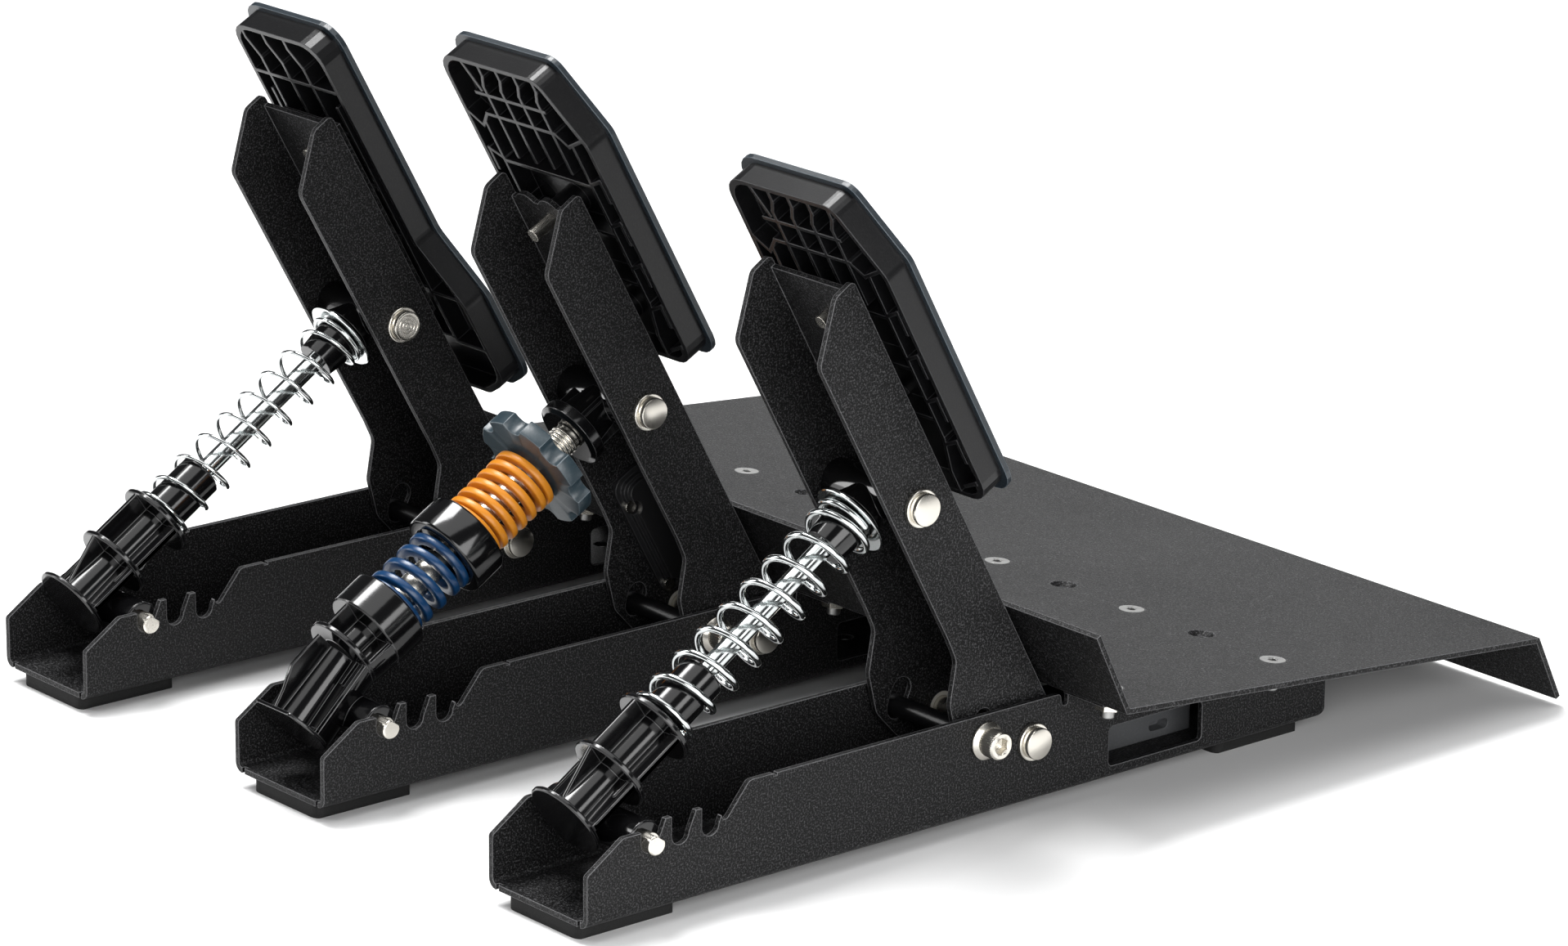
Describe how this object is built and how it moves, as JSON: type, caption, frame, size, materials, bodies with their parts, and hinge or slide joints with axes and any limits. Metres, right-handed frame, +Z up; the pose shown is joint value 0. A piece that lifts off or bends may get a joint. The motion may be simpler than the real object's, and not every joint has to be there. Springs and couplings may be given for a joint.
{
  "type": "racing simulator pedal set",
  "caption": "Floor pedal set with throttle, brake and clutch on folded steel rails under a sloped heel plate, each pushed back by an inclined spring strut.",
  "frame": {"origin": "on the floor under the middle of the set's width and depth", "axes": "+X from the clutch to the throttle, +Y from the heel towards the toes, +Z up"},
  "size_m": [0.406, 0.4261, 0.253],
  "materials": {
    "powder_black": "fine textured powder coat",
    "moulded_black": "glossy moulded",
    "satin_black": "satin moulded",
    "foot_rubber": "matte rubber",
    "nickel": "bright nickel plate",
    "zinc": "blue zinc plate",
    "pad_dark": "satin blue-black",
    "spring_yellow": "gloss enamel",
    "spring_blue": "gloss enamel",
    "nylon": "natural nylon",
    "board_green": "solder mask",
    "box_grey": "satin grey"
  },
  "bodies": {
    "base": {"heel_plate": "powder_black", "clutch_rail": "powder_black", "brake_rail": "powder_black", "throttle_rail": "powder_black", "rubber_feet": "foot_rubber", "plate_screws": "nickel", "plate_nuts": "nickel", "pivot_pins": "nickel", "pivot_rings": "nickel", "stop_bolts": "nickel", "stop_sleeves": "satin_black", "stop_washers": "nickel", "stop_nuts": "nickel", "lower_pins": "nickel", "controller_box": "box_grey", "sensor_boards": "board_green"},
    "clutch_pedal": {"clutch_arm": "powder_black", "clutch_bushes": "nylon", "clutch_magnet": "satin_black", "clutch_pad_frame": "moulded_black", "clutch_pad_plate": "pad_dark", "clutch_pad_screws": "nickel", "clutch_upper_pin": "nickel", "clutch_upper_rings": "nickel"},
    "clutch_strut": {"clutch_housing": "moulded_black", "clutch_spring": "nickel"},
    "clutch_plunger": {"clutch_rod": "nickel", "clutch_rod_end": "moulded_black", "clutch_seat_washer": "nickel"},
    "brake_pedal": {"brake_arm": "powder_black", "brake_bushes": "nylon", "brake_magnet": "satin_black", "brake_pad_frame": "moulded_black", "brake_pad_plate": "pad_dark", "brake_pad_screws": "nickel", "brake_upper_pin": "nickel", "brake_upper_rings": "nickel", "brake_cover": "satin_black", "brake_cover_screws": "nickel"},
    "brake_strut": {"brake_housing": "moulded_black", "brake_lower_spring": "spring_blue"},
    "brake_plunger": {"brake_rod": "nickel", "brake_rod_end": "moulded_black"},
    "throttle_pedal": {"throttle_arm": "powder_black", "throttle_bushes": "nylon", "throttle_magnet": "satin_black", "throttle_pad_frame": "moulded_black", "throttle_pad_plate": "pad_dark", "throttle_pad_screws": "nickel", "throttle_upper_pin": "nickel", "throttle_upper_rings": "nickel", "throttle_slide_plate": "powder_black"},
    "throttle_strut": {"throttle_housing": "moulded_black", "throttle_spring": "nickel"},
    "throttle_plunger": {"throttle_rod": "nickel", "throttle_rod_end": "moulded_black", "throttle_seat_washer": "nickel"},
    "brake_collar_body": {"brake_collar": "satin_black", "brake_upper_spring": "spring_yellow"},
    "brake_adjuster": {"brake_wheel": "zinc"}
  },
  "joints": [
    {"name": "clutch_press", "type": "hinge", "parent": "base", "child": "clutch_pedal", "pos_m": [-0.144, 0.01821, 0.0283], "axis": [-1, 0, 0], "range_deg": [0, 15], "stiffness_Nm_per_rad": 24, "springref_deg": -8.59, "deforming": ["clutch_spring"]},
    {"name": "clutch_strut_swing", "type": "hinge", "parent": "base", "child": "clutch_strut", "pos_m": [-0.144, 0.18551, 0.0304], "axis": [-1, 0, 0], "range_deg": [-0.4, 0.4]},
    {"name": "clutch_plunger_swing", "type": "hinge", "parent": "clutch_pedal", "child": "clutch_plunger", "pos_m": [-0.144, 0.06765, 0.12038], "axis": [-1, 0, 0], "range_deg": [-15.6, 0]},
    {"name": "brake_press", "type": "hinge", "parent": "base", "child": "brake_pedal", "pos_m": [0, 0.01821, 0.0283], "axis": [-1, 0, 0], "range_deg": [0, 8], "stiffness_Nm_per_rad": 160, "springref_deg": -2.29, "deforming": ["brake_lower_spring", "brake_upper_spring"]},
    {"name": "brake_strut_swing", "type": "hinge", "parent": "base", "child": "brake_strut", "pos_m": [0, 0.18551, 0.0304], "axis": [-1, 0, 0], "range_deg": [-0.4, 0.4]},
    {"name": "brake_plunger_swing", "type": "hinge", "parent": "brake_pedal", "child": "brake_plunger", "pos_m": [0, 0.06765, 0.12038], "axis": [-1, 0, 0], "range_deg": [-8.32, 0]},
    {"name": "throttle_press", "type": "hinge", "parent": "base", "child": "throttle_pedal", "pos_m": [0.144, 0.01821, 0.0283], "axis": [-1, 0, 0], "range_deg": [0, 15], "stiffness_Nm_per_rad": 14, "springref_deg": -8.59, "deforming": ["throttle_spring"]},
    {"name": "throttle_strut_swing", "type": "hinge", "parent": "base", "child": "throttle_strut", "pos_m": [0.144, 0.18551, 0.0304], "axis": [-1, 0, 0], "range_deg": [-0.4, 0.4]},
    {"name": "throttle_plunger_swing", "type": "hinge", "parent": "throttle_pedal", "child": "throttle_plunger", "pos_m": [0.144, 0.06765, 0.12038], "axis": [-1, 0, 0], "range_deg": [-15.6, 0]},
    {"name": "brake_collar_slide", "type": "slide", "parent": "brake_strut", "child": "brake_collar_body", "axis": [0, -0.8539, 0.5204], "range_m": [-0.0085, 0]},
    {"name": "brake_preload_wheel", "type": "hinge", "parent": "brake_plunger", "child": "brake_adjuster", "pos_m": [0, 0.09537, 0.10348], "axis": [0, -0.8539, 0.5204], "continuous": true}
  ],
  "couplings": [
    {"joint": "clutch_strut_swing", "follows": "clutch_press", "ratio": -0.02},
    {"joint": "clutch_plunger_swing", "follows": "clutch_press", "ratio": -1.02},
    {"joint": "brake_strut_swing", "follows": "brake_press", "ratio": -0.01},
    {"joint": "brake_plunger_swing", "follows": "brake_press", "ratio": -1.01},
    {"joint": "throttle_strut_swing", "follows": "throttle_press", "ratio": -0.02},
    {"joint": "throttle_plunger_swing", "follows": "throttle_press", "ratio": -1.02},
    {"joint": "brake_collar_slide", "follows": "brake_press", "m_per_rad": -0.0573}
  ]
}
